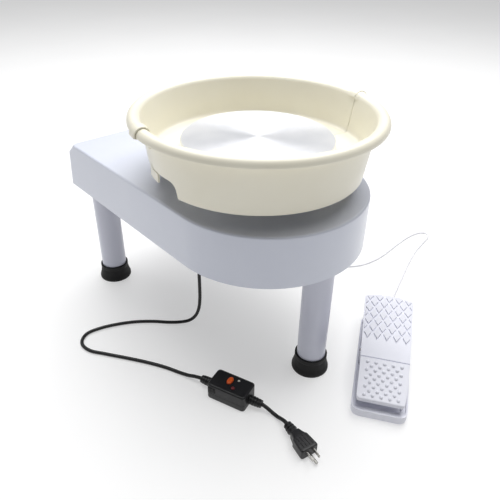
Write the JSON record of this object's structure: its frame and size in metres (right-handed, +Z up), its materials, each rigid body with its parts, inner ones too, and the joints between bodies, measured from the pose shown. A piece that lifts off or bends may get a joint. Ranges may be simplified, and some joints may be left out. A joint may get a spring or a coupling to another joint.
{
  "type": "pottery wheel",
  "caption": "Table-top electric pottery wheel: turning metal head in a split cream splash basin on a white legged housing, with foot pedal and mains lead.",
  "frame": {"origin": "on the floor, under the middle of the machine and its pedal taken together, without the mains and pedal leads", "axes": "+Z up, +X along the housing from its square motor end to its round wheel end, +Y towards the side that the pedal cable leaves"},
  "size_m": [0.715, 0.8598, 0.4431],
  "materials": {
    "shell_white": "glossy cool white moulding",
    "tube_white": "glossy white powder coat",
    "basin_cream": "satin cream moulding",
    "foot_rubber": "matt black rubber",
    "black_plastic": "fine-grained black moulding",
    "head_aluminium": "turned in fine rings",
    "bright_steel": "plain bright steel",
    "cast_iron": "dark cast and pressed iron",
    "pedal_white": "satin cool white moulding",
    "board_green": "printed circuit board",
    "button_orange": "glossy orange cap",
    "button_red": "dull dark red cap",
    "lens_white": "milky lens",
    "belt_rubber": "ribbed black belt",
    "cable_black": "black sheathed mains lead",
    "cable_white": "white sheathed low-voltage lead"
  },
  "bodies": {
    "machine": {"housing_shell": "shell_white", "base_plate": "cast_iron", "bearing_housing": "cast_iron", "lower_bearing": "bright_steel", "upper_bearing": "bright_steel", "drive_belt": "belt_rubber", "motor_body": "black_plastic", "motor_bracket": "bright_steel", "control_board": "board_green", "heat_sink": "head_aluminium", "switch_case": "black_plastic", "mains_gland": "black_plastic", "pedal_cable_gland": "shell_white", "pedal_base": "pedal_white", "pedal_pin": "bright_steel", "pedal_pad": "foot_rubber", "pedal_spring": "bright_steel", "speed_potentiometer": "bright_steel", "pedal_relief": "pedal_white", "box_lower": "black_plastic", "box_upper": "black_plastic", "power_led": "lens_white", "box_relief_plug_side": "black_plastic", "box_relief_wheel_side": "black_plastic", "plug_body": "black_plastic", "plug_blade_near": "bright_steel", "plug_blade_far": "bright_steel", "plug_ground_pin": "bright_steel", "mains_cord": "cable_black", "plug_cord": "cable_black", "pedal_cable": "cable_white", "leg_socket_front": "cast_iron", "leg_front": "tube_white", "foot_front": "foot_rubber", "leg_socket_rear_near": "cast_iron", "leg_rear_near": "tube_white", "foot_rear_near": "foot_rubber", "leg_socket_rear_far": "cast_iron", "leg_rear_far": "tube_white", "foot_rear_far": "foot_rubber", "plate_screw_1": "bright_steel", "plate_screw_2": "bright_steel", "plate_screw_3": "bright_steel", "plate_screw_4": "bright_steel"},
    "spindle": {"spindle_shaft": "bright_steel", "wheel_hub": "cast_iron", "wheel_head": "head_aluminium", "driven_pulley": "cast_iron"},
    "motor_rotor": {"motor_shaft": "bright_steel", "motor_pulley": "cast_iron"},
    "front_basin": {"basin_front": "basin_cream", "basin_front_socket": "basin_cream"},
    "rear_basin": {"basin_rear": "basin_cream", "basin_rear_socket": "basin_cream"},
    "tread": {"pedal_tread": "pedal_white"},
    "speed_control": {"speed_pinion": "lens_white"},
    "test_button_cap": {"test_button": "button_orange"},
    "reset_button_cap": {"reset_button": "button_red"},
    "direction_rocker": {"switch_rocker": "black_plastic"}
  },
  "joints": [
    {"name": "wheel_spin", "type": "hinge", "parent": "machine", "child": "spindle", "pos_m": [0.01054, -0.01251, 0.3], "axis": [0, 0, 1], "continuous": true},
    {"name": "motor_spin", "type": "hinge", "parent": "machine", "child": "motor_rotor", "pos_m": [-0.19946, -0.01251, 0.26], "axis": [0, 0, 1], "continuous": true},
    {"name": "basin_front_slide", "type": "slide", "parent": "machine", "child": "front_basin", "axis": [0.9646, -0.2639, 0], "range_m": [0, 0.25]},
    {"name": "basin_rear_slide", "type": "slide", "parent": "machine", "child": "rear_basin", "axis": [-0.9646, 0.2639, 0], "range_m": [0, 0.25]},
    {"name": "pedal_tilt", "type": "hinge", "parent": "machine", "child": "tread", "pos_m": [0.25406, 0.08385, 0.032], "axis": [-0.832, -0.5548, 0], "range_deg": [0, 8], "stiffness_Nm_per_rad": 2, "springref_deg": -8.59},
    {"name": "speed_turn", "type": "hinge", "parent": "machine", "child": "speed_control", "pos_m": [0.25486, 0.10878, 0.02253], "axis": [-0.832, -0.5548, 0], "range_deg": [-22, 0]},
    {"name": "test_press", "type": "slide", "parent": "machine", "child": "test_button_cap", "axis": [0, 0, -1], "range_m": [0, 0.0015], "stiffness_N_per_m": 600, "springref_m": -0.001},
    {"name": "reset_press", "type": "slide", "parent": "machine", "child": "reset_button_cap", "axis": [0, 0, -1], "range_m": [0, 0.001], "stiffness_N_per_m": 600, "springref_m": -0.001},
    {"name": "rocker_tilt", "type": "hinge", "parent": "machine", "child": "direction_rocker", "pos_m": [-0.28946, 0.15479, 0.272], "axis": [1, 0, 0], "range_deg": [-10, 10]}
  ],
  "couplings": [
    {"joint": "motor_spin", "follows": "wheel_spin", "ratio": 4},
    {"joint": "speed_turn", "follows": "pedal_tilt", "ratio": -2.6667}
  ]
}
